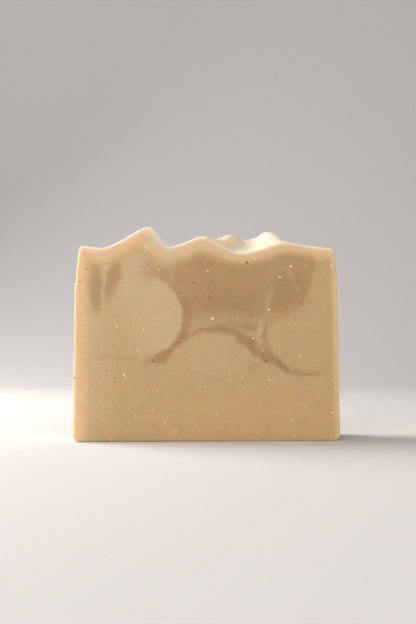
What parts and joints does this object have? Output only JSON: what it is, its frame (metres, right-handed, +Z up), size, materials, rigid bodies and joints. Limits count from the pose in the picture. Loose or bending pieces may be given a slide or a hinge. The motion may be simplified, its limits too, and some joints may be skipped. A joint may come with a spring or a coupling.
{
  "type": "bar of handmade soap",
  "caption": "Upright slab of handmade soap cut from a loaf, with flat cut faces, moulded ends and a soft ridged top.",
  "frame": {"origin": "centre of the flat bottom face, on the surface that the bar stands on", "axes": "+X along the bar's width, +Z up, -Y out of the front cut face"},
  "size_m": [0.088, 0.025, 0.0709],
  "materials": {
    "soap": "waxy honey-tan soap with soft lighter and darker swirls"
  },
  "bodies": {
    "root": {"soap_bar": "soap"}
  },
  "joints": []
}
